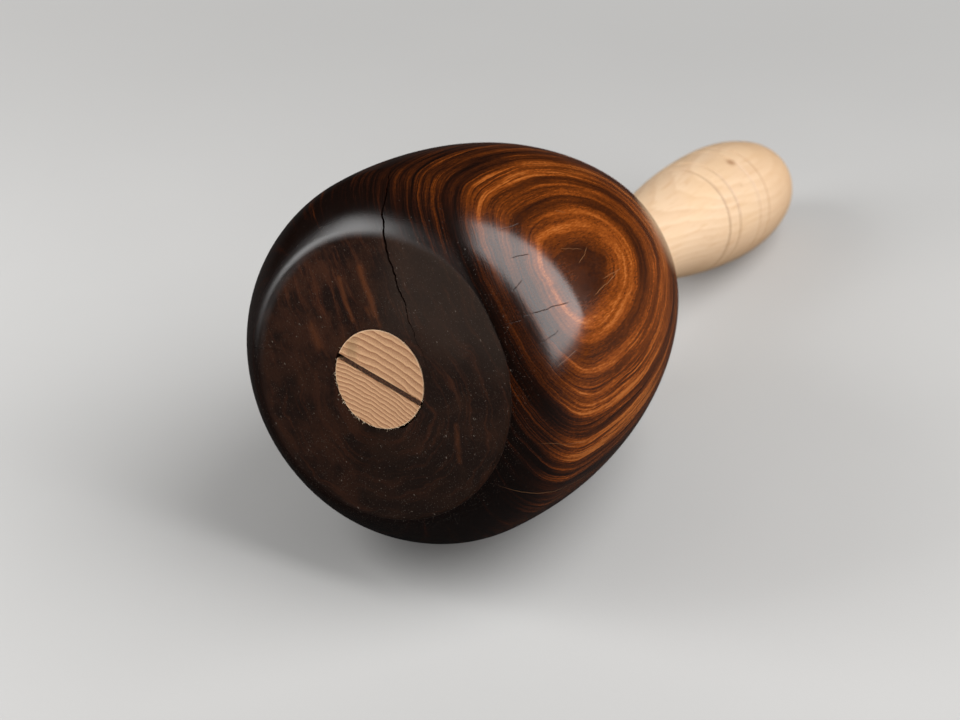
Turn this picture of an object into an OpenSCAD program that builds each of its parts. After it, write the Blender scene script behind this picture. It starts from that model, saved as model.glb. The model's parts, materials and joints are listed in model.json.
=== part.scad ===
// Round wooden carver's mallet: a turned head on a turned handle.
// The handle's tenon passes right through the head and is spread there by a wedge.
//
// Every part is turned about one straight axis. Distances along that axis are measured
// from the striking face towards the handle end. The mallet is then laid down on a bench:
// +Z is up, the striking face looks towards -Y and the handle points towards +Y, tipped
// down until the head and the grip touch the same flat surface.
// The origin is the centre of the striking face.

/* [Head] */
// widest diameter of the head
head_d = 99; // [88:0.5:110]
// length of the head along the axis
head_len = 107; // [100:0.5:114]
// distance of the widest ring from the striking face
widest_at = 34.5; // [32:0.5:37]
// radius of the long curve that tapers the head towards the handle
flank_r = 150; // [140:1:165]
// radius of the crown, the curve between the widest ring and the striking face
crown_r = 29.5; // [28:0.5:31]
// where the crown meets the long curve: angle of the surface there, 90 being the widest ring
crown_angle = 85; // [84:0.5:87]
// radius of the round at the edge of the striking face
rim_r = 4.2; // [2:0.1:6]
// radius of the round at the underside of the head
heel_r = 18; // [12:0.5:22]

/* [Handle] */
// length of the whole mallet, from the striking face to the handle end
total_len = 241.6; // [236:0.2:250]
// widest diameter of the grip
grip_d = 35.6; // [33:0.1:38]
// distance of the widest ring of the grip from the striking face
grip_at = 203; // [200:0.5:205]
// radius of the long curve between the grip and the neck
back_r = 235; // [210:1:260]
// radius of the curve between the widest ring of the grip and the end
belly_r = 94; // [85:1:105]
// radius of the turn into the rounded end
turn_r = 32.5; // [28:0.5:36]
// radius of the rounded end
end_r = 12.2; // [11:0.1:13]
// diameter of the neck, the thinnest place of the handle
neck_d = 25; // [23:0.5:27]
// distance of the neck from the striking face
neck_at = 138; // [134:0.5:142]

/* [Grip rings] */
// distance from the striking face to the middle of the first pair of rings
first_pair_at = 179.25; // [176:0.25:181]
// distance from the striking face to the middle of the second pair of rings
second_pair_at = 198.75; // [194:0.25:199]
// distance between the two rings of a pair
ring_gap = 6.3; // [5:0.1:7]
// diameter of the round tool that cuts a ring
ring_tool_d = 1; // [0.6:0.1:1.4]
// depth of a ring below the surface
ring_depth = 0.4; // [0.2:0.05:0.5]

/* [Joint] */
// diameter of the tenon that passes through the head
tenon_d = 25.4; // [22:0.1:27]
// gap between the tenon and the hole on the radius, and under the shoulder
slip = 0.05; // [0.02:0.01:0.1]
// depth of the saw cut in the tenon, from the striking face
kerf_depth = 52; // [46:1:60]
// width of the saw cut at the striking face, where the wedge holds it open
kerf_mouth = 1.4; // [1.4:0.05:1.8]
// width of the saw cut at its bottom
kerf_floor = 0.9; // [0.8:0.05:1]
// angle of the saw cut round the axis: 0 is level, positive turns the right end down
kerf_angle = 14.5; // [0:0.5:90]
// length of the wedge
wedge_len = 42; // [34:1:44]
// thickness of the wedge at the striking face
wedge_mouth = 1.32; // [1:0.02:1.36]
// thickness of the wedge at its thin end
wedge_tip = 0.4; // [0.3:0.05:0.6]
// how far the wedge stops short of the tenon's edge at its left end
wedge_short = 1.7; // [0.3:0.1:3]
// how far the wedge stops short of the tenon's edge at its right end
wedge_gap = 0.2; // [0.1:0.1:1]

/* [Hidden] */
$fn = 180;

// Profiles are drawn with the radius along x and the axis along y. A round is given by its
// centre, its radius and the angles it starts and ends at: 0 faces out of the striking
// face, 90 faces straight out sideways and 180 faces the handle end.
function on_round(c, r, angle) = [c[0] + r * sin(angle), c[1] - r * cos(angle)];

// Head: each curve is tangent to the next.
flank_c = [head_d / 2 - flank_r, widest_at];
crown_c = on_round(flank_c, flank_r - crown_r, crown_angle);
rim_angle = acos((crown_c[1] - rim_r) / (crown_r - rim_r));
rim_c = on_round(crown_c, crown_r - rim_r, rim_angle);
heel_angle = acos((widest_at - head_len + heel_r) / (flank_r - heel_r));
heel_c = on_round(flank_c, flank_r - heel_r, heel_angle);

// Handle: the back and belly curves meet at the widest ring of the grip. The turn curve is
// tangent to the belly curve and to the rounded end, whose centre lies on the axis.
back_c = [grip_d / 2 - back_r, grip_at];
belly_c = [grip_d / 2 - belly_r, grip_at];
end_c = [0, total_len - end_r];
span = norm(end_c - belly_c);
to_belly = belly_r - turn_r;
to_end = turn_r - end_r;
along = (to_belly * to_belly - to_end * to_end + span * span) / (2 * span);
aside = sqrt(to_belly * to_belly - along * along);
aim = (end_c - belly_c) / span;
turn_c = belly_c + along * aim + aside * [aim[1], -aim[0]];
turn_angle = atan2(turn_c[0] - belly_c[0], belly_c[1] - turn_c[1]);
end_angle = atan2(end_c[0] - turn_c[0], turn_c[1] - end_c[1]);

// The neck is one hollow curve, tangent to the back curve, that runs on to the shoulder.
neck_run = grip_at - neck_at;
neck_drop = (grip_d - neck_d) / 2;
neck_curve_r = neck_run * neck_run / (2 * neck_drop) - back_r + neck_drop / 2;
neck_c = [neck_d / 2 + neck_curve_r, neck_at];
neck_angle = 90 - asin(neck_run / (back_r + neck_curve_r));
shoulder_at = head_len + slip;
shoulder_r = neck_c[0] - sqrt(pow(neck_curve_r, 2) - pow(neck_at - shoulder_at, 2));

tenon_r = tenon_d / 2;
bore_r = tenon_r + slip;

// The bench touches the head's flank and the grip's belly at the same slope.
lift_run = grip_at - widest_at;
lift_side = belly_c[0] - flank_c[0];
rest_tilt = asin((flank_r - belly_r) / norm([lift_run, lift_side])) - atan2(lift_side, lift_run);

// Turns the turning axis from upright to the way the mallet lies on the bench.
module lay_down() {
  rotate([-90 - rest_tilt, 0, 0]) children();
}

// The slice of a disc between two of its angles.
module slice(c, r, from, to) {
  reach = 2 * r;
  intersection() {
    translate(c) circle(r = r);
    polygon([
      c,
      on_round(c, reach, from),
      on_round(c, reach, (from + to) / 2),
      on_round(c, reach, to)
    ]);
  }
}

module head_profile() {
  union() {
    polygon([
      [0, 0],
      on_round(rim_c, rim_r, 0),
      on_round(rim_c, rim_r, rim_angle),
      on_round(crown_c, crown_r, crown_angle),
      on_round(heel_c, heel_r, heel_angle),
      on_round(heel_c, heel_r, 180),
      [0, head_len]
    ]);
    slice(rim_c, rim_r, 0, rim_angle);
    slice(crown_c, crown_r, rim_angle, crown_angle);
    slice(flank_c, flank_r, crown_angle, heel_angle);
    slice(heel_c, heel_r, heel_angle, 180);
  }
}

module head() {
  color([0.24, 0.11, 0.05])
    lay_down()
      rotate_extrude()
        intersection() {
          head_profile();
          translate([bore_r, -1]) square([head_d, head_len + 2]);
        }
}

// Radius of the grip at a distance along the axis, between the neck and the widest ring.
function back_radius(at) = back_c[0] + sqrt(back_r * back_r - pow(at - grip_at, 2));

module ring_cut(at) {
  translate([back_radius(at) + ring_tool_d / 2 - ring_depth, at]) circle(d = ring_tool_d);
}

module handle_profile() {
  difference() {
    union() {
      difference() {
        polygon([
          [0, shoulder_at],
          [shoulder_r, shoulder_at],
          on_round(back_c, back_r, neck_angle),
          on_round(back_c, back_r, 90),
          on_round(belly_c, belly_r, turn_angle),
          on_round(turn_c, turn_r, end_angle),
          [0, total_len]
        ]);
        translate(neck_c) circle(r = neck_curve_r);
      }
      slice(back_c, back_r, neck_angle, 90);
      slice(belly_c, belly_r, 90, turn_angle);
      slice(turn_c, turn_r, turn_angle, end_angle);
      slice(end_c, end_r, end_angle, 180);
      square([tenon_r, shoulder_at]);
    }
    for (middle = [first_pair_at, second_pair_at]) {
      ring_cut(middle - ring_gap / 2);
      ring_cut(middle + ring_gap / 2);
    }
  }
}

// A blade shape across the axis: thick at the striking face, thin further in.
module blade(mouth, floor, start, depth, left, right) {
  rotate([90, 0, 90])
    translate([0, 0, -left])
      linear_extrude(height = left + right)
        polygon([
          [-mouth / 2, start],
          [mouth / 2, start],
          [floor / 2, depth],
          [-floor / 2, depth]
        ]);
}

module handle() {
  color([0.87, 0.72, 0.52])
    lay_down()
      difference() {
        rotate_extrude()
          intersection() {
            handle_profile();
            translate([0, -1]) square([grip_d, total_len + 2]);
          }
        rotate(kerf_angle) {
          blade(kerf_mouth, kerf_floor, 0, kerf_depth, tenon_d, tenon_d);
          translate([-tenon_d, -kerf_mouth / 2, -1]) cube([2 * tenon_d, kerf_mouth, 1]);
        }
      }
}

module wedge() {
  color([0.2, 0.1, 0.05])
    lay_down()
      rotate(kerf_angle)
        blade(wedge_mouth, wedge_tip, 0, wedge_len, tenon_r - wedge_short, tenon_r - wedge_gap);
}

head();
handle();
wedge();
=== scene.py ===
"""Looks for the round wooden mallet: head, handle and wedge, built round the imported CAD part."""

import json
import math
import random

import bmesh
import bpy
import numpy as np
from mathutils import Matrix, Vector, noise


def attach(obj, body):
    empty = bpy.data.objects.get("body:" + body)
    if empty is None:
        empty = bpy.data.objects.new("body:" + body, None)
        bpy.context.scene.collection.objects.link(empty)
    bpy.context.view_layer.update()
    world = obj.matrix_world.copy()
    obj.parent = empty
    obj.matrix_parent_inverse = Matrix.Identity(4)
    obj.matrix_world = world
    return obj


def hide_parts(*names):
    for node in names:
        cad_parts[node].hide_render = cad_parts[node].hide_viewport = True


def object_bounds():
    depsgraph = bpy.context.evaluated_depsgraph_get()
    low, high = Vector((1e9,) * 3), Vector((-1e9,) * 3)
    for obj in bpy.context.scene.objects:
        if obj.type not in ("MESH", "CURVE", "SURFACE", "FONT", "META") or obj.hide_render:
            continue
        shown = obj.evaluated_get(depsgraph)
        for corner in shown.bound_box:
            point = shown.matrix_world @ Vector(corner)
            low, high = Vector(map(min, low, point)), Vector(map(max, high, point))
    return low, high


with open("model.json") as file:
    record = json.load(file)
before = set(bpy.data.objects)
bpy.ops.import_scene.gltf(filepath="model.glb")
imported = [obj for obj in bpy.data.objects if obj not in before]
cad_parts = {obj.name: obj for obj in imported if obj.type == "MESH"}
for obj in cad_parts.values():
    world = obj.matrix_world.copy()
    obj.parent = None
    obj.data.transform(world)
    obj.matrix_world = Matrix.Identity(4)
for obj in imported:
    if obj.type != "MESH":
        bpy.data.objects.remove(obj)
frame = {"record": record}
cad_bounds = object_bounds()

MM = 0.001
BODY = "root"

# ---------------------------------------------------------------- the turning axis
# Points are given as u (right), w (up across the axis) and s (along the axis, from the
# striking face), in millimetres, and turned into the row frame by to_row.
face_mount = next(m for m in frame["record"]["mounts"] if m["name"] == "striking_face")
ORIGIN = np.array(face_mount["pos_m"], float)
ALONG = -np.array(face_mount["axis"], float)
ALONG /= np.linalg.norm(ALONG)
SIDE = np.array([1.0, 0.0, 0.0])
LIFT = np.cross(SIDE, ALONG)
LIFT *= -1 if LIFT[2] < 0 else 1

# ---------------------------------------------------------------- sizes, millimetres
HEAD_D, HEAD_LEN, WIDEST_AT = 99.0, 107.0, 34.5
FLANK_R, CROWN_R, CROWN_ANGLE, RIM_R, HEEL_R = 150.0, 29.5, 85.0, 4.2, 18.0
TOTAL_LEN, GRIP_D, GRIP_AT = 241.6, 35.6, 203.0
BACK_R, BELLY_R, TURN_R, END_R = 235.0, 94.0, 32.5, 12.2
NECK_D, NECK_AT = 25.0, 138.0
TENON_R, SLIP = 12.7, 0.05
BORE_R = TENON_R + SLIP
KERF_DEPTH, KERF_MOUTH, KERF_FLOOR, KERF_ANGLE = 52.0, 1.4, 0.9, -14.5
WEDGE_LEN, WEDGE_MOUTH, WEDGE_TIP = 42.0, 1.32, 0.4
WEDGE_LEFT, WEDGE_RIGHT = 11.0, 12.45
RINGS_AT = (176.1, 182.4, 195.6, 201.9)
RING_TOOL_R, RING_DEPTH = 0.5, 0.4
HEAD_SIDES, HANDLE_SIDES = 400, 240
CORNER = 32.0  # degrees; a sharper bend than this stays a crisp edge
SAME_PLACE = 0.000002  # metres; a shorter edge left by a cut is closed up


def to_row(u, w, s):
    """Rows of row-frame points, in metres, for arrays of u, w and s."""
    return ORIGIN + (np.outer(u, SIDE) + np.outer(w, LIFT) + np.outer(s, ALONG)) * MM


def on_round(centre, radius, angle):
    """Point on a round of the profile: 0 degrees faces out of the face, 180 the handle end."""
    turn = math.radians(angle)
    return (centre[0] + radius * math.sin(turn), centre[1] - radius * math.cos(turn))


def round_points(centre, radius, start, end, step):
    """Profile points (radius, distance) along a round, about step apart, without the last."""
    length = abs(radius * math.radians(end - start))
    count = max(2, round(length / step))
    return [on_round(centre, radius, start + (end - start) * i / count) for i in range(count)]


def line_points(start, end, step):
    """Profile points from start towards end, about step apart, without the last."""
    count = max(1, round(math.dist(start, end) / step))
    return [
        (start[0] + (end[0] - start[0]) * i / count, start[1] + (end[1] - start[1]) * i / count)
        for i in range(count)
    ]


# ---------------------------------------------------------------- head outline
flank_c = (HEAD_D / 2 - FLANK_R, WIDEST_AT)
crown_c = on_round(flank_c, FLANK_R - CROWN_R, CROWN_ANGLE)
rim_angle = math.degrees(math.acos((crown_c[1] - RIM_R) / (CROWN_R - RIM_R)))
rim_c = on_round(crown_c, CROWN_R - RIM_R, rim_angle)
heel_angle = math.degrees(math.acos((WIDEST_AT - HEAD_LEN + HEEL_R) / (FLANK_R - HEEL_R)))
heel_c = on_round(flank_c, FLANK_R - HEEL_R, heel_angle)
RIM_LEN = RIM_R * math.radians(rim_angle)
CROWN_LEN = CROWN_R * math.radians(CROWN_ANGLE - rim_angle)


def head_surface(reach, theta):
    """Point and outward normal of the head at an angle round it; reach is the length along
    the surface from the axis, over the flat face, the rim, the crown and on down the side."""
    past_rim = reach - rim_c[0]
    past_crown = past_rim - RIM_LEN
    past_flank = past_crown - CROWN_LEN
    if past_rim < 0:
        radius, distance, facing = reach, 0.0, 0.0
    elif past_crown < 0:
        facing = math.degrees(past_rim / RIM_R)
        radius, distance = on_round(rim_c, RIM_R, facing)
    elif past_flank < 0:
        facing = rim_angle + math.degrees(past_crown / CROWN_R)
        radius, distance = on_round(crown_c, CROWN_R, facing)
    else:
        facing = CROWN_ANGLE + math.degrees(past_flank / FLANK_R)
        radius, distance = on_round(flank_c, FLANK_R, facing)
    out, turn = math.radians(facing), math.radians(theta)
    point = np.array([radius * math.cos(turn), radius * math.sin(turn), distance])
    normal = np.array(
        [math.sin(out) * math.cos(turn), math.sin(out) * math.sin(turn), -math.cos(out)]
    )
    return point, normal


def head_outline():
    """Closed outline of the head's wall, from the hole's edge at the face round to it again."""
    points = line_points((BORE_R, 0), (rim_c[0], 0), 0.62)
    points += round_points(rim_c, RIM_R, 0, rim_angle, 0.28)
    points += round_points(crown_c, CROWN_R, rim_angle, CROWN_ANGLE, 0.5)
    points += round_points(flank_c, FLANK_R, CROWN_ANGLE, heel_angle, 0.95)
    points += round_points(heel_c, HEEL_R, heel_angle, 180, 0.9)
    points += line_points((heel_c[0], HEAD_LEN), (BORE_R, HEAD_LEN), 1.2)
    points += line_points((BORE_R, HEAD_LEN), (BORE_R, 4), 9)
    points += line_points((BORE_R, 4), (BORE_R, 0), 0.5)
    return points


# ---------------------------------------------------------------- handle outline
back_c = (GRIP_D / 2 - BACK_R, GRIP_AT)
belly_c = (GRIP_D / 2 - BELLY_R, GRIP_AT)
end_c = (0.0, TOTAL_LEN - END_R)


def turn_round():
    """Centre and end angles of the round that joins the belly to the rounded end."""
    span = math.dist(end_c, belly_c)
    to_belly, to_end = BELLY_R - TURN_R, TURN_R - END_R
    far = (to_belly**2 - to_end**2 + span**2) / (2 * span)
    off = math.sqrt(to_belly**2 - far**2)
    aim = ((end_c[0] - belly_c[0]) / span, (end_c[1] - belly_c[1]) / span)
    centre = (belly_c[0] + far * aim[0] + off * aim[1], belly_c[1] + far * aim[1] - off * aim[0])
    start = math.atan2(centre[0] - belly_c[0], belly_c[1] - centre[1])
    end = math.atan2(end_c[0] - centre[0], centre[1] - end_c[1])
    return centre, math.degrees(start), math.degrees(end)


turn_c, turn_angle, end_angle = turn_round()
neck_run, neck_drop = GRIP_AT - NECK_AT, (GRIP_D - NECK_D) / 2
NECK_R = neck_run**2 / (2 * neck_drop) - BACK_R + neck_drop / 2
neck_c = (NECK_D / 2 + NECK_R, NECK_AT)
neck_angle = 90 - math.degrees(math.asin(neck_run / (BACK_R + NECK_R)))
SHOULDER_AT = HEAD_LEN + SLIP


def neck_radius(distance):
    """Radius of the hollow neck at a distance along the axis."""
    return neck_c[0] - math.sqrt(NECK_R**2 - (distance - NECK_AT) ** 2)


def grip_depth(distance):
    """How deep the turned rings cut at a distance along the axis."""
    deepest = 0.0
    for ring in RINGS_AT:
        off = abs(distance - ring)
        lift = RING_TOOL_R - RING_DEPTH
        if off < RING_TOOL_R:
            deepest = max(deepest, math.sqrt(RING_TOOL_R**2 - off**2) - lift)
    return deepest


def handle_outline():
    """Outline of the handle from the middle of the tenon's end to the middle of the grip's end."""
    neck_top = on_round(back_c, BACK_R, neck_angle)[1]
    points = line_points((0.9, 0), (TENON_R - 0.15, 0), 0.55)
    points += line_points((TENON_R - 0.15, 0), (TENON_R, 0.15), 0.1)
    points += line_points((TENON_R, 0.15), (TENON_R, 3), 0.4)
    points += line_points((TENON_R, 3), (TENON_R, SHOULDER_AT), 5)
    shoulder = (neck_radius(SHOULDER_AT), SHOULDER_AT)
    points += line_points((TENON_R, SHOULDER_AT), shoulder, 1.5)
    steps = 40
    for i in range(steps):
        distance = SHOULDER_AT + (neck_top - SHOULDER_AT) * i / steps
        points.append((neck_radius(distance), distance))
    for radius, distance in round_points(back_c, BACK_R, neck_angle, 90, 0.2):
        points.append((radius - grip_depth(distance), distance))
    points += round_points(belly_c, BELLY_R, 90, turn_angle, 0.5)
    points += round_points(turn_c, TURN_R, turn_angle, end_angle, 0.4)
    points += round_points(end_c, END_R, end_angle, 177, 0.35)
    return points


# ---------------------------------------------------------------- mesh building
def new_piece(name, points, faces, material):
    """A mesh object in the row frame, smooth except at real corners."""
    mesh = bpy.data.meshes.new(name)
    mesh.from_pydata([tuple(p) for p in points], [], faces)
    mesh.validate()
    mesh.update()
    piece = bpy.data.objects.new(name, mesh)
    bpy.context.scene.collection.objects.link(piece)
    if material:
        mesh.materials.append(material)
    smooth(piece)
    return piece


def smooth(piece):
    """Shades a piece smoothly, with crisp edges at sharp bends."""
    piece.data.polygons.foreach_set("use_smooth", [True] * len(piece.data.polygons))
    piece.data.set_sharp_from_angle(angle=math.radians(CORNER))


def band_faces(first, second, sides):
    """Quads between two rings of points that start at these indices."""
    faces = []
    for i in range(sides):
        j = (i + 1) % sides
        faces.append((first + i, second + i, second + j, first + j))
    return faces


def cut(piece, cutter):
    """Cuts the cutter's shape out of the piece, removes the cutter and closes tiny edges."""
    hollow = piece.modifiers.new("cut", "BOOLEAN")
    hollow.operation = "DIFFERENCE"
    hollow.solver = "EXACT"
    hollow.object = cutter
    view = bpy.context.evaluated_depsgraph_get()
    made = bpy.data.meshes.new_from_object(piece.evaluated_get(view), depsgraph=view)
    piece.modifiers.remove(hollow)
    cleaned = bmesh.new()
    cleaned.from_mesh(made)
    bmesh.ops.dissolve_degenerate(cleaned, dist=SAME_PLACE, edges=cleaned.edges)
    cleaned.to_mesh(made)
    cleaned.free()
    piece.data = made
    bpy.data.objects.remove(cutter)
    smooth(piece)


def wander(seed, *at):
    """Smooth noise between -1 and 1 at a point."""
    point = Vector((*at, 0.0, 0.0, 0.0)[:3]) + Vector((seed * 17.3, seed * 7.7, seed * 3.1))
    return noise.noise(point) * 1.6


def angle_gap(theta, centre):
    """Degrees between two directions, always positive."""
    return abs((theta - centre + 180) % 360 - 180)


def bore_gap(theta):
    """How far the hole's edge stands off the tenon at the face, in millimetres."""
    crescent = 0.34 * max(0.0, 1 - (angle_gap(theta, -38) / 24) ** 2)
    pocket = 0.45 * math.exp(-((angle_gap(theta, -53) / 4.5) ** 2))
    end_left = 0.35 * math.exp(-((angle_gap(theta, 166) / 5) ** 2))
    end_right = 0.4 * math.exp(-((angle_gap(theta, -16) / 4) ** 2))
    chips = 0.07 * max(0.0, wander(3, theta * 0.35))
    return crescent + pocket + end_left + end_right + chips


# Drying checks: reach along the surface from the axis, angle round it, width at the mouth.
MAIN_CHECK = (
    (72, 110, 0.03),
    (58, 104, 0.16),
    (50, 100.5, 0.32),
    (42, 97, 0.46),
    (36, 93, 0.56),
    (31, 91, 0.52),
    (25, 83, 0.44),
    (18.6, 69, 0.28),
    (15.5, 55, 0.1),
    (14.6, 38, 0.08),
    (14.7, 10, 0.03),
)
LEFT_CHECK = ((41, 182.5, 0.03), (34, 181, 0.12), (30, 180.2, 0.1), (25, 179.5, 0.03))


def build_head(material):
    """The head: a turned ring with a hole, slightly uneven as turned and sanded by hand."""
    outline = head_outline()
    points, faces = [], []
    for radius, distance in outline:
        for i in range(HEAD_SIDES):
            theta = 360 * i / HEAD_SIDES
            turn = math.radians(theta)
            r, s = radius, distance
            if radius > BORE_R + 0.01:
                r -= 0.05 + 0.05 * wander(1, 2 * math.cos(turn), 2 * math.sin(turn), distance / 20)
            if distance < 0.01 and radius < rim_c[0] + 0.01:
                s += 0.03 + 0.03 * wander(2, radius * math.cos(turn) / 6, radius * math.sin(turn) / 6)
            near_face = max(0.0, 1 - distance / 2.5)
            near_bore = max(0.0, 1 - (radius - BORE_R) / 1.2)
            r += bore_gap(theta) * near_face * near_bore
            points.append((r * math.cos(turn), r * math.sin(turn), s))
    rings = len(outline)
    for k in range(rings):
        faces += band_faces(k * HEAD_SIDES, (k + 1) % rings * HEAD_SIDES, HEAD_SIDES)
    points = np.array(points)
    head = new_piece("head_turned", to_row(*points.T), faces, material)
    for path, seed in ((MAIN_CHECK, 11), (LEFT_CHECK, 12)):
        cut(head, check_cutter(path, seed))
    return head


def check_cutter(path, seed):
    """A thin crooked blade whose lower edge is the bottom of a drying check."""
    rows = []
    for (r0, t0, w0), (r1, t1, w1) in zip(path, path[1:]):
        length = math.hypot(r1 - r0, math.radians(t1 - t0) * min(r0, r1))
        count = max(2, round(length / 0.7))
        for i in range(count):
            part = i / count
            rows.append((r0 + (r1 - r0) * part, t0 + (t1 - t0) * part, w0 + (w1 - w0) * part))
    rows.append(path[-1])
    spine = [head_surface(reach, theta) for reach, theta, _ in rows]
    points = []
    for i, (reach, _, width) in enumerate(rows):
        point, normal = spine[i]
        ahead = spine[min(i + 1, len(rows) - 1)][0] - spine[max(i - 1, 0)][0]
        across = np.cross(normal, ahead)
        across /= np.linalg.norm(across)
        crook = 0.16 * wander(seed, i * 0.9) + 0.3 * wander(seed + 5, i * 0.17)
        wide = width * (1 + 0.35 * wander(seed + 9, i * 0.6))
        middle = point + across * crook
        lift, depth = 0.6, 0.6 + width * 7
        mouth = wide / 2 * (1 + lift / depth)
        points.append(middle + normal * lift + across * mouth)
        points.append(middle + normal * lift - across * mouth)
        points.append(middle - normal * depth)
    faces = [(0, 1, 2)]
    for i in range(len(rows) - 1):
        a, b = 3 * i, 3 * i + 3
        faces += [(a, b, b + 1, a + 1), (a + 1, b + 1, b + 2, a + 2), (a + 2, b + 2, b, a)]
    last = 3 * (len(rows) - 1)
    faces.append((last + 2, last + 1, last))
    cutter = new_piece("cutter", to_row(*np.array(points).T), faces, None)
    return outward(cutter)


def outward(piece):
    """Turns every face of a closed piece outward."""
    mesh = piece.data
    total = 0.0
    for polygon in mesh.polygons:
        total += polygon.center.dot(polygon.normal) * polygon.area
    if total < 0:
        mesh.flip_normals()
    return piece


def tenon_tear(theta):
    """Small bites out of the tenon's edge, deepest at the lower left."""
    torn = math.exp(-((angle_gap(theta, 232) / 38) ** 2))
    ragged = max(0.0, wander(21, theta * 0.16)) + 0.5 * max(0.0, wander(22, theta * 0.5))
    return 0.03 + (0.05 + 0.32 * torn) * ragged


def build_handle(material):
    """The handle in one piece: tenon with its saw cut, shoulder, neck, grip and rounded end."""
    outline = handle_outline()
    points, faces = [(0.0, 0.0, 0.0)], []
    for radius, distance in outline:
        for i in range(HANDLE_SIDES):
            theta = 360 * i / HANDLE_SIDES
            turn = math.radians(theta)
            r, s = radius, distance
            if radius > TENON_R - 1.3 and distance < 0.6:
                r -= tenon_tear(theta) * (1 - distance / 0.6) * (radius - TENON_R + 1.3) / 1.3
            if distance < 0.01:
                s += 0.02 * wander(23, radius * math.cos(turn) * 1.5, radius * math.sin(turn) * 1.5)
            if distance > SHOULDER_AT:
                r -= 0.02 + 0.02 * wander(24, math.cos(turn), math.sin(turn), distance / 15)
            points.append((r * math.cos(turn), r * math.sin(turn), s))
    rings = len(outline)
    for i in range(HANDLE_SIDES):
        faces.append((0, 1 + i, 1 + (i + 1) % HANDLE_SIDES))
    for k in range(rings - 1):
        faces += band_faces(1 + k * HANDLE_SIDES, 1 + (k + 1) * HANDLE_SIDES, HANDLE_SIDES)
    tip = len(points)
    last = 1 + (rings - 1) * HANDLE_SIDES
    points.append((0.0, 0.0, TOTAL_LEN))
    for i in range(HANDLE_SIDES):
        faces.append((tip, last + (i + 1) % HANDLE_SIDES, last + i))
    points = np.array(points)
    handle = new_piece("handle_turned", to_row(*points.T), faces, material)
    cut(handle, kerf_cutter())
    return handle


def kerf_cutter():
    """The saw cut: a tapered slab across the tenon with slightly ragged walls."""
    return slab(
        "cutter", left=-16, right=16, top=-1.0, bottom=KERF_DEPTH, mouth=KERF_MOUTH,
        floor=KERF_FLOOR, rough=0.05, pinch=0.0, seed=31, material=None,
    )


def slab(name, left, right, top, bottom, mouth, floor, rough, pinch, seed, material):
    """A thin tapered slab across the axis, in the plane of the saw cut. Its two broad sides
    are uneven by the given roughness, its top edge too, and its mouth may be pinched in."""
    columns = round((right - left) / 0.25)
    levels = [top, top + 0.5, top + 1.0, top + 1.6, top + 4, top + 12, bottom]
    turn = math.radians(KERF_ANGLE)
    points = []
    for side in (1, -1):
        for k, level in enumerate(levels):
            half = (mouth + (floor - mouth) * max(0.0, level) / bottom) / 2
            half -= pinch * math.exp(-max(0.0, level) / 1.5)
            for i in range(columns + 1):
                across = left + (right - left) * i / columns
                ragged = rough * wander(seed + side, across * 1.7, level * 0.5)
                off = side * half + ragged
                dip = 0.0
                if k == 0 and top > -0.5:
                    dip = 0.12 + 0.08 * wander(seed + 3, across * 1.3, side)
                u = across * math.cos(turn) - off * math.sin(turn)
                w = across * math.sin(turn) + off * math.cos(turn)
                points.append((u, w, level + dip))
    row = columns + 1
    back = len(levels) * row
    faces = []
    for k in range(len(levels) - 1):
        for i in range(columns):
            a = k * row + i
            faces.append((a, a + 1, a + row + 1, a + row))
            b = back + a
            faces.append((b, b + row, b + row + 1, b + 1))
    for i in range(columns):
        faces.append((i, back + i, back + i + 1, i + 1))
        low = (len(levels) - 1) * row + i
        faces.append((low, low + 1, back + low + 1, back + low))
    for k in range(len(levels) - 1):
        a = k * row
        faces.append((a, a + row, back + a + row, back + a))
        b = a + columns
        faces.append((b, back + b, back + b + row, b + row))
    piece = new_piece(name, to_row(*np.array(points).T), faces, material)
    return outward(piece)


def build_wedge(material):
    """The wedge: a thin dark blade that stops short of the saw cut's left end."""
    return slab(
        "wedge_blade", left=-WEDGE_LEFT, right=WEDGE_RIGHT, top=0.0, bottom=WEDGE_LEN,
        mouth=WEDGE_MOUTH, floor=WEDGE_TIP, rough=0.05, pinch=0.15, seed=41,
        material=material,
    )


def build_fibres(material):
    """Small torn slivers of pale wood round the tenon's edge, each a closed tapered spike."""
    rng = random.Random(7)
    points, faces = [], []
    for _ in range(64):
        if rng.random() < 0.6:
            theta = rng.gauss(245, 40)
        else:
            theta = rng.uniform(0, 360)
        turn = math.radians(theta)
        heading = turn + rng.uniform(-1.25, 1.25)
        length = rng.uniform(0.3, 0.9) * (1.5 if rng.random() < 0.15 else 1)
        thick = rng.uniform(0.035, 0.08)
        start = (TENON_R - 0.25) * np.array([math.cos(turn), math.sin(turn), 0.0])
        ahead = np.array([math.cos(heading), math.sin(heading), 0.0])
        across = np.array([-ahead[1], ahead[0], 0.0])
        bow = rng.uniform(-0.35, 0.35)
        rise = rng.uniform(0.05, 0.4)
        base = len(points)
        stations = 4
        for i in range(stations):
            part = i / stations
            wide = thick * (1 - 0.75 * part)
            middle = start + ahead * length * part + across * bow * length * part**2
            middle[2] = -rise * length * part + 0.03
            points.append(middle + across * wide)
            points.append(middle - across * wide)
            points.append(middle + np.array([0, 0, -wide * 1.2]))
        points.append(start + ahead * length + across * bow * length + [0, 0, -rise * length])
        faces.append((base, base + 2, base + 1))
        for i in range(stations - 1):
            a, b = base + 3 * i, base + 3 * i + 3
            for j in range(3):
                k = (j + 1) % 3
                faces.append((a + j, a + k, b + k, b + j))
        a = base + 3 * (stations - 1)
        for j in range(3):
            faces.append((a + j, a + (j + 1) % 3, base + 3 * stations))
    rows = to_row(*np.array(points).T)
    return outward(new_piece("tenon_fibres", rows, faces, material))


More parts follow.
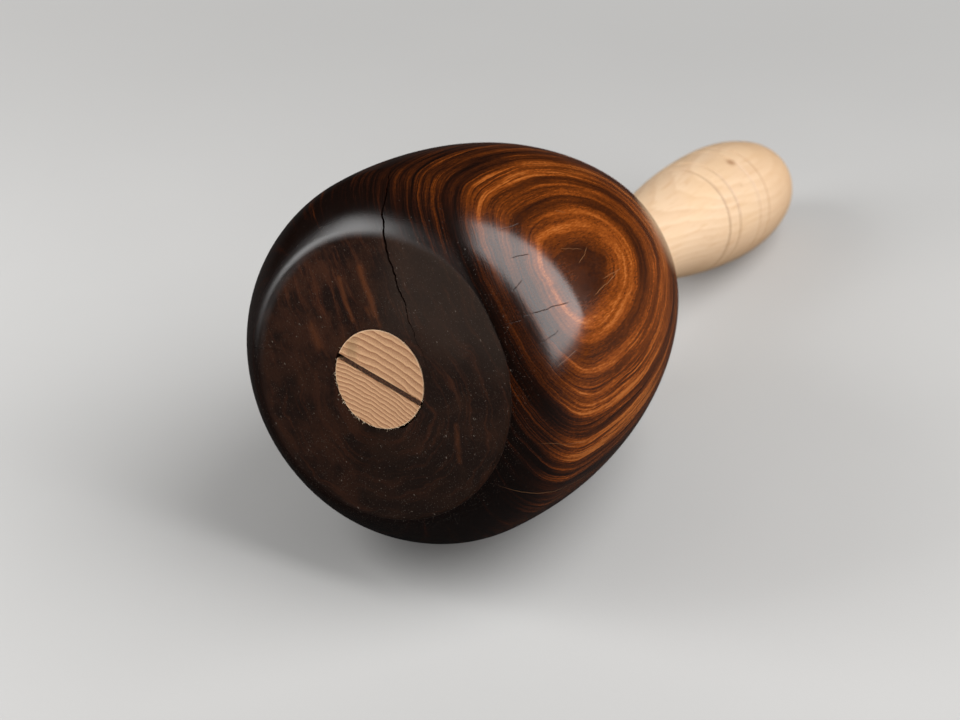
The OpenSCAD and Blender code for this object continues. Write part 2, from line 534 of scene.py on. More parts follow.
# ---------------------------------------------------------------- node building
class Value:
    """A number or colour coming out of a shader node, so that sums read as sums."""

    def __init__(self, graph, socket):
        self.graph, self.socket = graph, socket

    def __add__(self, other):
        return self.graph.math("ADD", self, other)

    __radd__ = __add__

    def __sub__(self, other):
        return self.graph.math("SUBTRACT", self, other)

    def __rsub__(self, other):
        return self.graph.math("SUBTRACT", other, self)

    def __mul__(self, other):
        return self.graph.math("MULTIPLY", self, other)

    __rmul__ = __mul__

    def __truediv__(self, other):
        return self.graph.math("DIVIDE", self, other)


class Graph:
    """The node tree of one material."""

    def __init__(self, name):
        self.material = bpy.data.materials.new(name)
        self.material.use_nodes = True
        self.tree = self.material.node_tree
        self.shader = self.tree.nodes["Principled BSDF"]

    def feed(self, socket, value):
        """Links a Value to a socket, or sets a plain one."""
        if isinstance(value, Value):
            self.tree.links.new(value.socket, socket)
        elif value is not None:
            socket.default_value = value

    def math(self, operation, a, b=None, clamp=False):
        node = self.tree.nodes.new("ShaderNodeMath")
        node.operation = operation
        node.use_clamp = clamp
        for socket, value in zip(node.inputs, (a, b)):
            self.feed(socket, value)
        return Value(self, node.outputs[0])

    def root(self, a):
        return self.math("SQRT", a)

    def size(self, a):
        return self.math("ABSOLUTE", a)

    def step(self, value, low, high, start=0.0, end=1.0):
        """Smoothly from start to end as value goes from low to high."""
        node = self.tree.nodes.new("ShaderNodeMapRange")
        node.interpolation_type = "SMOOTHSTEP"
        for name, item in (
            ("Value", value), ("From Min", low), ("From Max", high),
            ("To Min", start), ("To Max", end),
        ):
            self.feed(node.inputs[name], item)
        return Value(self, node.outputs[0])

    def vector(self, x, y, z):
        node = self.tree.nodes.new("ShaderNodeCombineXYZ")
        for socket, value in zip(node.inputs, (x, y, z)):
            self.feed(socket, value)
        return Value(self, node.outputs[0])

    def noise(self, vector, detail=2.0, roughness=0.5):
        """Smooth noise between 0 and 1, mostly near 0.5."""
        node = self.tree.nodes.new("ShaderNodeTexNoise")
        self.feed(node.inputs["Vector"], vector)
        self.feed(node.inputs["Scale"], 1.0)
        self.feed(node.inputs["Detail"], detail)
        self.feed(node.inputs["Roughness"], roughness)
        return Value(self, node.outputs[0])

    def cells(self, vector, scale):
        """Distance and colour of the nearest of many scattered points."""
        node = self.tree.nodes.new("ShaderNodeTexVoronoi")
        self.feed(node.inputs["Vector"], vector)
        self.feed(node.inputs["Scale"], scale)
        return Value(self, node.outputs["Distance"]), Value(self, node.outputs["Color"])

    def ramp(self, value, stops):
        """Colour or number at value, from stops that are pairs of a place and a colour."""
        node = self.tree.nodes.new("ShaderNodeValToRGB")
        elements = node.color_ramp.elements
        while len(elements) < len(stops):
            elements.new(1.0)
        for element, (place, colour) in zip(elements, stops):
            element.position = place
            element.color = colour4(colour)
        self.feed(node.inputs["Fac"], value)
        return Value(self, node.outputs["Color"])

    def mix(self, factor, a, b):
        """a where factor is 0, b where it is 1, for colours and numbers alike."""
        node = self.tree.nodes.new("ShaderNodeMix")
        node.data_type = "RGBA"
        self.feed(node.inputs[0], factor)
        self.feed(node.inputs[6], colour4(a))
        self.feed(node.inputs[7], colour4(b))
        return Value(self, node.outputs[2])

    def place(self):
        """u, w and s of the shaded point, in millimetres."""
        texture = self.tree.nodes.new("ShaderNodeTexCoord")
        found = []
        for direction in (SIDE, LIFT, ALONG):
            node = self.tree.nodes.new("ShaderNodeVectorMath")
            node.operation = "DOT_PRODUCT"
            self.tree.links.new(texture.outputs["Object"], node.inputs[0])
            node.inputs[1].default_value = tuple(direction / MM)
            found.append(Value(self, node.outputs["Value"]))
        return found

    def stroke(self, u, w, start, end, width):
        """1 along a soft straight stroke between two points across the axis, 0 away from it."""
        du, dw = end[0] - start[0], end[1] - start[1]
        ahead_u, ahead_w = u - start[0], w - start[1]
        part = (ahead_u * du + ahead_w * dw) / (du * du + dw * dw)
        part = self.math("ADD", part, 0.0, clamp=True)
        off_u, off_w = ahead_u - part * du, ahead_w - part * dw
        return self.step(self.root(off_u * off_u + off_w * off_w), 0.0, width, 1.0, 0.0)

    def bump(self, height, distance, below=None):
        """Surface direction with a height added, whose full size is distance millimetres."""
        node = self.tree.nodes.new("ShaderNodeBump")
        self.feed(node.inputs["Height"], height)
        node.inputs["Distance"].default_value = distance * MM
        if below is not None:
            self.feed(node.inputs["Normal"], below)
        return Value(self, node.outputs[0])

    def finish(self, colour, roughness, normal, sheen=0.5):
        """The material, with sheen as the strength of its mirror-like reflection."""
        self.feed(self.shader.inputs["Base Color"], colour)
        self.feed(self.shader.inputs["Roughness"], roughness)
        self.feed(self.shader.inputs["Specular IOR Level"], sheen)
        self.feed(self.shader.inputs["Normal"], normal)
        return self.material


def colour4(value):
    """A colour socket's value for a colour triple or a plain number."""
    if isinstance(value, (int, float)):
        return (value, value, value, 1.0)
    if isinstance(value, tuple) and len(value) == 3:
        return (*value, 1.0)
    return value


# ---------------------------------------------------------------- head wood
# The growth rings are flattened tubes round a pith line inside the head. Millimetres.
RING_TURN = 38.5
PITH_OFF, PITH_ASIDE, RING_FLATTEN = 16.6, -1.5, 0.63
PITH_LEAN, PITH_LEAN_ASIDE, PITH_BOW = -0.036, 0.091, 0.00133
# Tone of the wood at each ring size, from the dark heart out to the bright ring.
RING_TONES = (
    (20, 0.06), (30, 0.07), (36, 0.10), (37.2, 0.22), (38.8, 0.12), (41, 0.27), (42.8, 0.17),
    (44.4, 0.25), (46, 0.20), (48.2, 0.39), (50, 0.25), (51.6, 0.44), (53.2, 0.56), (54, 0.62),
    (54.8, 0.45), (56.2, 0.30), (57.2, 0.48), (57.9, 0.66), (58.9, 0.60), (60.1, 0.69),
    (61.2, 0.60), (62.1, 0.73), (62.9, 0.64), (63.7, 0.46), (64.3, 0.74), (65.1, 0.90),
    (65.7, 0.74), (66.3, 0.54), (67.5, 0.46), (69, 0.44),
)
RING_LOW, RING_HIGH = 20.0, 69.0
# Fine marks along the polish: angle and distance where each starts, then where it ends.
PALE_MARKS = (
    (-29.2, 0.5, -28.4, 42, 0.75), (30.6, 27, 34.3, 44, 0.75), (41.0, 27.5, 44.2, 35.5, 0.6),
    (34.2, 34, 34.4, 46, 0.6), (15.9, 9, 19.3, 15.5, 0.5), (58.0, 34, 56.2, 37.5, 0.6),
    (-9.0, 5, -11.0, 22, 0.45), (47.5, 24, 44.5, 33, 0.4),
)
DARK_MARKS = (
    (34.7, 4.5, 32.4, 18, 0.9), (35.2, 0.5, 33.6, 5, 0.8), (52.4, 9.5, 50.3, 14.5, 0.9),
    (43.6, 5.5, 44.8, 9, 0.8), (24.2, 6, 26.6, 12, 0.7), (61.5, 12, 59.5, 19, 0.6),
)
WOOD_TONES = (
    (0.0, (0.0050, 0.0022, 0.0015)),
    (0.27, (0.0150, 0.0042, 0.0020)),
    (0.51, (0.042, 0.0100, 0.0022)),
    (0.68, (0.085, 0.0190, 0.0026)),
    (0.83, (0.16, 0.036, 0.0045)),
    (0.92, (0.23, 0.057, 0.0080)),
    (1.0, (0.32, 0.096, 0.019)),
)


def growth_rings(g, u, w, s):
    """Ring size in millimetres at a point of the head."""
    turn = math.radians(RING_TURN)
    from_widest = s - 35.0
    out = u * math.cos(turn) + w * math.sin(turn) + PITH_OFF
    out = out + from_widest * PITH_LEAN + from_widest * from_widest * PITH_BOW
    aside = w * math.cos(turn) - u * math.sin(turn) - PITH_ASIDE + from_widest * PITH_LEAN_ASIDE
    aside = aside * RING_FLATTEN
    rings = g.root(out * out + aside * aside)
    slow = g.noise(g.vector(u / 11, w / 11, s / 34), detail=2) - 0.5
    quick = g.noise(g.vector(u / 3.2, w / 3.2, s / 15), detail=2) - 0.5
    calm = g.step(rings, 58, 65, 1.0, 0.45)
    return rings + slow * 1.2 * calm + quick * 0.35


# The striking face: middle of its rings, and pale strokes as start, end, width, strength.
FACE_FIGURE = (1.0, -7.0)
FACE_STROKES = (
    ((-8.3, 27), (-2.6, 16), 1.4, 0.7),
    ((-13.5, 23), (-9.5, 13), 1.2, 0.6),
    ((-5.0, 17), (-1.5, 14), 1.5, 0.5),
    ((-21, 9), (-17.5, 4), 1.8, 0.55),
    ((22.5, -6), (24.5, -15), 1.2, 0.5),
)
FACE_EDGE, FACE_EDGE_AT = 35.7, -12
FACE_BLACK, FACE_BROWN = (0.0125, 0.0058, 0.0040), (0.054, 0.0172, 0.0080)
FACE_PATCH, FACE_WARM = (0.040, 0.0165, 0.0085), (0.062, 0.0215, 0.0105)
FACE_STROKE = (0.115, 0.035, 0.012)
GRIT_PALE, GRIT_DARK = (0.058, 0.035, 0.025), (0.006, 0.0035, 0.0028)
# The last two colours on the next line are painted: a pale grey sheen and a shade.
FACE_GREY, FACE_PAINTED_SHEEN, FACE_PAINTED_SHADE = (0.019, 0.0135, 0.0110), (0.046, 0.032, 0.025), (0.0075, 0.0042, 0.0030)
DUST, MARK_PALE, MARK_DARK = (0.20, 0.165, 0.135), (0.19, 0.090, 0.038), (0.012, 0.004, 0.002)


def face_figure(g, u, w, wave):
    """Figure of the face, mostly 0.3 to 0.7: rings low and at the right, steep streaks at the
    top left. With it come the streaks alone, and how far across and along them the point is."""
    right, up = u - FACE_FIGURE[0], w - FACE_FIGURE[1]
    ring = g.root(right * right + up * up * 1.3) + wave * 7
    ringed = g.noise(g.vector(ring * 0.55, u / 22, w / 22), detail=4, roughness=0.65)
    lean = math.radians(30)
    across = u * math.cos(lean) + w * math.sin(lean) + wave * 4
    along = w * math.cos(lean) - u * math.sin(lean)
    steep = g.noise(g.vector(across * 0.55, along * 0.06, 4.0), detail=4, roughness=0.72)
    return g.mix(g.step(w - u * 0.6, 2, 14), ringed, steep), steep, across, along


def face_colour(g, u, w):
    """Dull dark brown of the sanded face, warmer at the left and greyer at the right, with a painted pale
    grey sheen at the top right and painted shade towards the lower left.
    """
    wave = g.noise(g.vector(u / 9, w / 9, 0.0), detail=3) - 0.5
    figure, steep, across, along = face_figure(g, u, w, wave)
    colour = g.mix(g.step(figure, 0.48, 0.70), FACE_BLACK, FACE_BROWN)
    patch = g.noise(g.vector(u / 10, w / 10, 7.0), detail=3, roughness=0.6)
    colour = g.mix(g.step(patch, 0.42, 0.66, 0.0, 0.45), colour, FACE_PATCH)
    warm = g.step(u + w * 0.2 + wave * 14, 4, -14, 0.0, 0.45) * g.step(patch, 0.36, 0.6)
    colour = g.mix(warm, colour, FACE_WARM)
    for start, end, width, strength in FACE_STROKES:
        stroke = g.stroke(u + wave * 2, w, start, end, width) * g.step(steep, 0.36, 0.5)
        colour = g.mix(stroke * strength, colour, FACE_STROKE)
    grit = g.noise(g.vector(across * 3.0, along * 1.2, 0.0), detail=4, roughness=0.75)
    colour = g.mix(g.step(grit, 0.52, 0.72, 0.0, 0.5), colour, GRIT_PALE)
    colour = g.mix(g.step(grit, 0.48, 0.3, 0.0, 0.6), colour, GRIT_DARK)
    grey = g.step(u - w * 0.2 + wave * 22, -4, 12, 0.0, 0.25)
    colour = g.mix(grey, colour, FACE_GREY)
    # Painted sheen: the top right of the face is painted a paler grey, as if lit.
    painted_sheen = g.step(w + wave * 12, 4, 20) * g.step(u, -8, 6, 0.0, 0.5)
    colour = g.mix(painted_sheen, colour, FACE_PAINTED_SHEEN)
    # Painted shade: the face darkens towards the lower left.
    return g.mix(g.step(w + u * 0.5, -22, 12, 0.55, 0.0), colour, FACE_PAINTED_SHADE)


def wood_tone(g, u, w, s, theta):
    """Tone of the banded wood, for WOOD_TONES, with painted shade and light in it, and the height of its
    grain.
    """
    rings = growth_rings(g, u, w, s)
    tone = g.ramp(
        (rings - RING_LOW) / (RING_HIGH - RING_LOW),
        [((at - RING_LOW) / (RING_HIGH - RING_LOW), value) for at, value in RING_TONES],
    )
    broad = g.noise(g.vector(rings * 0.95, u / 45, s / 70), detail=2) - 0.5
    fine = g.noise(g.vector(rings * 2.6, u / 30, s / 45), detail=3, roughness=0.7) - 0.5
    hair = g.noise(g.vector(rings * 6.5, u / 14, s / 20), detail=2) - 0.5
    lines = (broad * 0.9 + fine * 1.3 + hair * 0.6) * g.step(rings, 60, 63.5, 1.0, 0.55)
    middle = g.step(rings, 38, 45) * g.step(rings, 55.5, 58, 1.0, 0.0)
    lines = lines * (middle * 0.35 + 1.0) + middle * 0.045
    veins = g.noise(g.vector(rings * 0.9, u / 26, s / 40 + 9), detail=3, roughness=0.7)
    red = g.step(veins, 0.55, 0.66, 0.0, 0.36) * g.step(rings, 34, 44, 1.0, 0.0)
    fibre = g.noise(g.vector(u * 2.6, w * 2.6, s * 0.55), detail=3, roughness=0.7) - 0.5
    blotch = g.noise(g.vector(u / 7, w / 7, s / 16), detail=2) - 0.5
    # Painted shade near the face and higher up the head; painted light further along it and lower down.
    painted_shading = g.step(s, 3, 17, 0.32, 0.0) - g.step(s, 22, 50, 0.0, 0.09)
    painted_shading = painted_shading + g.step(theta, -0.6, 1.1, -0.17, 0.08) * g.step(s, 6, 18)
    full = tone + red + lines + fibre * 0.6 + blotch * 0.2 - painted_shading
    return full, fibre * 0.5 + lines * 0.4


def dust(g, u, w, s, radius):
    """Pale dust caught in the pores, thick on the face and thin just past its edge."""
    cloud = g.noise(g.vector(u / 6, w / 6, s / 6 + 2), detail=3, roughness=0.65)
    cloud = cloud + u * 0.002 - w * 0.0015
    jag = g.noise(g.vector(u * 1.7, w * 1.7, s), detail=2)
    spot, hue = g.cells(g.vector(u + jag * 1.2, w - jag * 1.2, s), 0.9)
    pick = g.step(hue + cloud * 0.6, 1.0, 1.1)
    near = g.step(radius, 30, 46, 1.0, 0.1) * g.step(s, 6, 22, 1.0, 0.0)
    specks = g.step(spot, 0.05, 0.2, 1.0, 0.0) * pick * near
    tiny, tiny_hue = g.cells(g.vector(u, w, s), 2.6)
    fine = g.step(tiny_hue + cloud * 1.1, 1.12, 1.27) * g.step(s, 1, 5, 1.0, 0.0)
    fine = g.step(tiny, 0.08, 0.30, 1.0, 0.0) * fine * 0.34
    return g.math("MAXIMUM", specks * 0.75, fine)


def marks(g, places, theta, radius, s):
    """One for each point on a fine mark, nought elsewhere. The marks wander a little."""
    bend = g.noise(g.vector(s / 4.5, theta * 3, 0.0), detail=3) - 0.5
    found = 0.0
    for from_angle, start, to_angle, end, strength in places:
        drift = math.radians(to_angle - from_angle) / (end - start)
        off = theta - math.radians(from_angle) - (s - start) * drift + bend * 0.03
        line = g.step(g.size(off) * radius, 0.03, 0.13, strength, 0.0)
        tail = (end - start) * 0.2
        line = line * g.step(s, start, start + tail) * g.step(s, end - tail, end, 1.0, 0.0)
        found = g.math("MAXIMUM", line, found)
    return found


def head_material():
    """Polished banded wood, with the striking face sanded dull inside a worn edge."""
    g = Graph("head_wood")
    u, w, s = g.place()
    radius = g.root(u * u + w * w)
    theta = g.math("ARCTAN2", w, u)
    tone, height = wood_tone(g, u, w, s, theta)

    # Where the dull face ends: crisp at the lower right, soft at the left.
    turn = math.radians(FACE_EDGE_AT)
    lean = (u * math.cos(turn) + w * math.sin(turn)) / radius
    rise = w / radius
    soft = g.step(lean, -0.35, 0.55, 3.4, 0.35)
    edge = lean + FACE_EDGE + g.step(rise, 0.55, 1.0, 0.0, 1.6)
    edge = edge + (g.noise(g.vector(u / 5, w / 5, 0.0)) - 0.5) * 0.5
    past = radius - edge
    dull = g.step(past / soft, -0.5, 0.5, 1.0, 0.0) * g.step(s, 3.0, 6.0, 1.0, 0.0)

    colour = g.mix(dull, g.ramp(tone, WOOD_TONES), face_colour(g, u, w))
    specks = dust(g, u, w, s, radius)
    colour = g.mix(specks, colour, DUST)
    pale, dark = marks(g, PALE_MARKS, theta, radius, s), marks(g, DARK_MARKS, theta, radius, s)
    colour = g.mix(pale, colour, MARK_PALE)
    colour = g.mix(dark, colour, MARK_DARK)

    # Satin where the polish is worn beside the face, and rubbed down at the lower left.
    rough = g.noise(g.vector(u / 5, w / 5, s / 5), detail=3) * 0.1 + 0.14
    worn = g.step(lean, -0.1, 0.6, 5.0, 0.3)
    satin = g.step(past / worn, 0.3, 1.2, 1.0, 0.0) * g.step(s, 6.0, 11.0, 1.0, 0.0)
    satin = satin * g.step(rise, -0.25, 0.2)
    rubbed = g.mix(g.step(lean, -0.2, 0.4), g.step(rise, -0.2, 0.3, 0.3, 1.0), 1.0)
    rough = g.mix(satin, rough, 0.35)
    polish = g.mix(dull, rough, g.noise(g.vector(u, w, s), detail=2) * 0.12 + 0.47)
    grain = g.noise(g.vector(u * 2.2, w * 2.2, s * 2.2), detail=4, roughness=0.7)
    side_bump = g.bump(height, 0.02)
    face_bump = g.bump(grain * dull + specks * 0.8 - pale * 0.5 - dark, 0.06, below=side_bump)
    shine = g.mix(dull, g.mix(satin, 0.42, 0.62) * rubbed, 0.03) * (1 - dark * 0.8)
    return g.finish(colour, polish, face_bump, sheen=shine)


# ---------------------------------------------------------------- handle wood
GROWTH_STEP, WIDE_STEP = 1.15, 1.75
# Pin knots: distance along, angle round, size, strength.
KNOTS = ((194.2, 69.8, 1.5, 0.75), (188.6, 43.6, 0.8, 0.4))
KNOT_R = 17.6
# Strength of the painted shade in each turned ring.
RING_PAINTED_SHADE = (0.75, 0.75, 0.45, 0.45)
END_EARLY, END_LATE = (0.665, 0.385, 0.200), (0.31, 0.124, 0.050)
PORE_DARK, PORE_PALE = (0.25, 0.112, 0.048), (0.71, 0.465, 0.275)
STAIN_AT, STAIN, END_RIM = (-8.6, 6.0), (0.22, 0.135, 0.050), (0.70, 0.46, 0.28)
LONG_EARLY, LONG_LATE = (0.625, 0.452, 0.300), (0.47, 0.290, 0.165)
LONG_STREAK, LONG_PATCH = (0.49, 0.300, 0.165), (0.60, 0.41, 0.24)
# The first colour on the next line is painted shade for the handle's underside.
LONG_PAINTED_SHADE, LONG_END = (0.50, 0.305, 0.165), (0.55, 0.345, 0.19)
# The second colour on the next line is painted shade for the turned rings.
KNOT, GROOVE_PAINTED_SHADE = (0.26, 0.12, 0.05), (0.24, 0.135, 0.07)


def late_wood(g, u, w, s):
    """Nought in the early wood of each year's ring, rising to one at its end."""
    turn = math.radians(KERF_ANGLE + 1)
    level = w * math.cos(turn) - u * math.sin(turn)
    across = u * math.cos(turn) + w * math.sin(turn)
    waves = g.noise(g.vector(u / 6, w / 6, s / 40), detail=3) - 0.5
    bowed = level + across * across * 0.009 + across * 0.03 + waves * 1.9 + (s - 60) * 0.012
    year = g.mix(g.step(bowed, -0.01, 0.01), bowed / GROWTH_STEP, bowed / WIDE_STEP)
    return g.ramp(
        g.math("FRACT", year + 100.13),
        ((0.0, 0.9), (0.07, 0.0), (0.22, 0.05), (0.45, 0.38), (0.8, 0.72), (0.94, 1.0), (1.0, 0.9)),
    )


def end_grain(g, u, w, s, late, pores):
    """Tan end grain of the tenon, with pores, a stain at the upper left and a pale rim."""
    colour = g.mix(late, END_EARLY, END_LATE)
    colour = g.mix(g.step(pores, 0.5, 0.32, 0.0, 0.55), colour, PORE_DARK)
    colour = g.mix(g.step(pores, 0.52, 0.68, 0.0, 0.5), colour, PORE_PALE)
    off_u, off_w = u - STAIN_AT[0], w - STAIN_AT[1]
    from_stain = g.root(off_u * off_u * 0.5 + off_w * off_w * 0.12)
    stain = g.step(from_stain + g.noise(g.vector(u, w, s)) * 1.4, 0.7, 2.6, 0.5, 0.0)
    colour = g.mix(stain, colour, STAIN)
    rim = g.step(g.root(u * u + w * w), TENON_R - 0.42, TENON_R - 0.18)
    return g.mix(rim * 0.75, colour, END_RIM)


def long_grain(g, u, w, s, late, streak):
    """Pale long grain of the neck and grip, with two pin knots, painted shade in the turned rings and
    painted shade on the underside.
    """
    colour = g.mix(late * 0.38, LONG_EARLY, LONG_LATE)
    colour = g.mix(g.step(streak, 0.5, 0.70, 0.0, 0.6), colour, LONG_STREAK)
    patch = g.noise(g.vector(u / 9, w / 9, s / 22), detail=2)
    colour = g.mix(g.step(patch, 0.42, 0.7, 0.0, 0.4), colour, LONG_PATCH)
    # Painted shade: the underside of the handle is painted a darker tan.
    colour = g.mix(g.step(w, 6, -15, 0.0, 0.6), colour, LONG_PAINTED_SHADE)
    colour = g.mix(g.step(s, 184, 236, 0.0, 0.6), colour, LONG_END)
    blur = g.noise(g.vector(u, w, s)) * 0.8
    for distance, theta, size, strength in KNOTS:
        place = math.radians(theta)
        du, dw = u - KNOT_R * math.cos(place), w - KNOT_R * math.sin(place)
        gap = g.root(du * du + dw * dw + (s - distance) * (s - distance) * 0.5)
        knot = g.step(gap + blur, size * 0.5, size * 1.7, strength, 0.0)
        colour = g.mix(knot, colour, KNOT)
    # Painted shade: a dark line down each turned ring.
    groove_shade = 0.0
    for ring, strength in zip(RINGS_AT, RING_PAINTED_SHADE):
        line = g.step(g.size(s - ring), 0.15, 0.5, strength, 0.0)
        groove_shade = g.math("MAXIMUM", line, groove_shade)
    return g.mix(groove_shade, colour, GROOVE_PAINTED_SHADE)


def handle_material():
    """Pale wood: saw-marked end grain at the striking face, smooth long grain elsewhere."""
    g = Graph("handle_wood")
    u, w, s = g.place()
    late = late_wood(g, u, w, s)
    pores = g.noise(g.vector(u * 3.4, w * 3.4, s), detail=4, roughness=0.75)
    streak = g.noise(g.vector(u * 0.9, w * 0.9, s * 0.035), detail=4, roughness=0.6)
    is_long = g.step(s, 0.2, 0.7)
    end_tone, long_tone = end_grain(g, u, w, s, late, pores), long_grain(g, u, w, s, late, streak)
    colour = g.mix(is_long, end_tone, long_tone)
    saw = g.noise(g.vector(u * 3, w * 3, s * 3), detail=3, roughness=0.7)
    end_bump = g.bump((late * 0.6 + pores + saw * 0.5) * (1 - is_long), 0.09)
    skin = g.bump(streak + late * 0.3, 0.03, below=end_bump)
    rough = g.mix(is_long, 0.72, g.noise(g.vector(u / 4, w / 4, s / 8)) * 0.1 + 0.3)
    return g.finish(colour, rough, skin, sheen=0.45)


WEDGE_TONES = (
    (0.34, (0.009, 0.004, 0.0025)), (0.5, (0.048, 0.018, 0.008)), (0.66, (0.17, 0.070, 0.031)),
)
FIBRE_DARK, FIBRE_PALE = (0.62, 0.47, 0.31), (0.85, 0.72, 0.53)


def wedge_material():
    """Dark coarse wood of the wedge."""
    g = Graph("wedge_wood")
    u, w, s = g.place()
    grain = g.noise(g.vector(u * 1.6, w * 5.0, s * 0.3), detail=4, roughness=0.7)
    colour = g.ramp(grain, WEDGE_TONES)
    return g.finish(colour, grain * 0.2 + 0.55, g.bump(grain, 0.15), sheen=0.2)


def fibre_material():
    """Pale torn slivers."""
    g = Graph("torn_fibre")
    u, w, s = g.place()
    grain = g.noise(g.vector(u * 2, w * 2, s), detail=3)
    colour = g.mix(g.step(grain, 0.35, 0.65), FIBRE_DARK, FIBRE_PALE)
    return g.finish(colour, grain * 0.2 + 0.6, g.bump(grain, 0.02))


# ---------------------------------------------------------------- setting
FLOOR_HALF = 12.0  # metres
FLOOR_PALE, FLOOR_LIGHT = (0.40, 0.396, 0.39), (0.43, 0.426, 0.42)
FLOOR_IN_POLISH = (0.022, 0.0215, 0.021)
STUDIO_WHITE = (1.0, 0.99, 0.97, 1.0)
# Brightness of the backdrop, of the fill that lights shadows, and of the room in the polish.
BACKDROP, FILL, ROOM = 0.6, 0.2, 0.004
CAMERA_AZIMUTH, CAMERA_HEIGHT, CAMERA_DISTANCE = 29.52, 30.01, 0.7
CAMERA_AIM = (0.0009, 0.0486, -0.0186)
LENS, SENSOR = 100.0, 36.0
F_STOP = 22.0
MIDDLE_Y = 0.05


def direction(azimuth, height):
    """Unit vector away from the object: azimuth 0 is -Y, 90 is +X."""
    a, e = math.radians(azimuth), math.radians(height)
    return Vector((math.sin(a) * math.cos(e), -math.cos(a) * math.cos(e), math.sin(e)))


def floor_material():
    """Pale paint that looks dark in the polish. Far from the object the camera sees it blend
    into the backdrop."""
    g = Graph("floor_paint")
    u, w, s = g.place()
    cloud = g.noise(g.vector(u / 90, w / 90, s / 90), detail=3)
    ray = g.tree.nodes.new("ShaderNodeLightPath")
    polish, seen = (Value(g, ray.outputs[f"Is {kind} Ray"]) for kind in ("Glossy", "Camera"))
    colour = g.mix(polish, g.mix(cloud, FLOOR_PALE, FLOOR_LIGHT), FLOOR_IN_POLISH)
    away = g.root(u * u + (s - 50) * (s - 50))
    far = g.step(away, 150, 600) * seen
    g.feed(g.shader.inputs["Emission Color"], STUDIO_WHITE)
    g.feed(g.shader.inputs["Emission Strength"], far * BACKDROP)
    fine = g.noise(g.vector(u * 2, w * 2, s * 2), detail=2)
    return g.finish(g.mix(far, colour, 0.0), 0.7, g.bump(fine, 0.02), sheen=0.12)


def build_floor(height):
    """A wide flat floor at this height, which is staging and not part of the object."""
    corners = [
        (x * FLOOR_HALF, y * FLOOR_HALF, height) for x, y in ((-1, -1), (1, -1), (1, 1), (-1, 1))
    ]
    floor = new_piece("floor", corners, [(0, 1, 2, 3)], floor_material())


def softbox(name, azimuth, distance, facing, tilt, bottom, top, width, radiance, fade):
    """A rectangular soft light. Its lower edge starts at a bearing and distance from the middle
    of the object, level with the axis; it faces the bearing it came from, tilted down, and it
    runs from bottom to top up its own slope. It grows dimmer over the faded part of its height.
    """
    away = direction(facing, tilt)
    along = Vector((math.cos(math.radians(facing)), math.sin(math.radians(facing)), 0))
    slope = away.cross(along)
    foot = direction(azimuth, 0) * distance + Vector((0, MIDDLE_Y, 0))
    light = bpy.data.lights.new(name, "AREA")
    light.shape = "RECTANGLE"
    light.size, light.size_y = width, top - bottom
    light.energy = radiance * math.pi * width * (top - bottom)
    box = bpy.data.objects.new(name, light)
    bpy.context.scene.collection.objects.link(box)
    box.location = foot + slope * (top + bottom) / 2
    box.rotation_mode = "QUATERNION"
    box.rotation_quaternion = (-away).to_track_quat("-Z", "Y")
    light.use_nodes = True
    nodes, links = light.node_tree.nodes, light.node_tree.links
    place = nodes.new("ShaderNodeNewGeometry")
    split = nodes.new("ShaderNodeSeparateXYZ")
    ramp = nodes.new("ShaderNodeMapRange")
    ramp.interpolation_type = "SMOOTHSTEP"
    ramp.inputs["From Min"].default_value = 1 - fade
    ramp.inputs["To Min"].default_value, ramp.inputs["To Max"].default_value = 1.0, 0.0
    links.new(place.outputs["Parametric"], split.inputs[0])
    links.new(split.outputs["Y"], ramp.inputs["Value"])
    links.new(ramp.outputs[0], nodes["Emission"].inputs["Strength"])
    return box


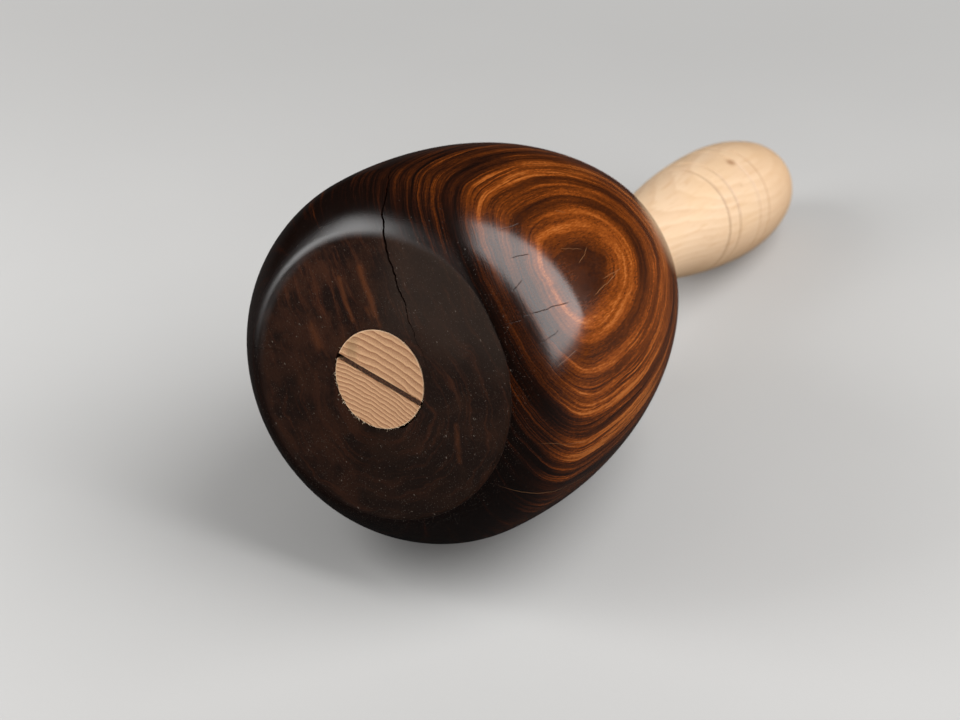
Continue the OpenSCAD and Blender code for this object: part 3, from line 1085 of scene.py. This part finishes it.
def light_world():
    """A pale backdrop for the camera, a soft fill for the shadows and a dim room in the polish."""
    world = bpy.data.worlds.new("studio")
    bpy.context.scene.world = world
    world.use_nodes = True
    tree = world.node_tree
    background = tree.nodes["Background"]
    background.inputs["Color"].default_value = STUDIO_WHITE
    path = tree.nodes.new("ShaderNodeLightPath")
    fill = tree.nodes.new("ShaderNodeMapRange")
    tree.links.new(path.outputs["Is Diffuse Ray"], fill.inputs["Value"])
    fill.inputs["To Min"].default_value = ROOM
    fill.inputs["To Max"].default_value = FILL
    seen = tree.nodes.new("ShaderNodeMath")
    seen.operation = "MULTIPLY_ADD"
    tree.links.new(path.outputs["Is Camera Ray"], seen.inputs[0])
    seen.inputs[1].default_value = BACKDROP
    tree.links.new(fill.outputs[0], seen.inputs[2])
    tree.links.new(seen.outputs[0], background.inputs["Strength"])


def light_scene():
    """A tall softbox at the right, a smaller one at the front left, and the world."""
    softbox(
        "right_softbox", azimuth=109, distance=0.6, facing=110, tilt=19, bottom=0.077, top=1.5,
        width=0.546, radiance=5.6, fade=0.36,
    )
    softbox(
        "left_softbox", azimuth=-44, distance=0.7, facing=-20, tilt=45, bottom=0.025, top=0.6,
        width=0.33, radiance=7.0, fade=0.1,
    )
    light_world()


def build_camera(focus):
    """The camera of the photograph's viewing angle, sharpest at the focus object's origin."""
    data = bpy.data.cameras.new("camera")
    data.lens, data.sensor_width = LENS, SENSOR
    data.clip_start, data.clip_end = 0.01, 50
    camera = bpy.data.objects.new("camera", data)
    bpy.context.scene.collection.objects.link(camera)
    away = direction(CAMERA_AZIMUTH, CAMERA_HEIGHT)
    camera.location = Vector(CAMERA_AIM) + away * CAMERA_DISTANCE
    data.dof.use_dof = True
    data.dof.focus_object = focus
    data.dof.aperture_fstop = F_STOP
    camera.rotation_mode = "QUATERNION"
    camera.rotation_quaternion = (-away).to_track_quat("-Z", "Y")
    bpy.context.scene.camera = camera


def main():
    """Builds the pieces, stands them in for the CAD nodes, and sets the floor, lights and camera."""
    pieces = {
        "head": build_head(head_material()),
        "handle": build_handle(handle_material()),
        "wedge": build_wedge(wedge_material()),
    }
    fibres = build_fibres(fibre_material())
    for node, piece in pieces.items():
        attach(piece, BODY)
        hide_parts(node)
    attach(fibres, BODY)
    floor_height = cad_bounds[0].z
    build_floor(floor_height)
    light_scene()
    build_camera(pieces["head"])
    bpy.context.scene.view_settings.view_transform = "Standard"
    bpy.context.scene.view_settings.look = "None"


main()
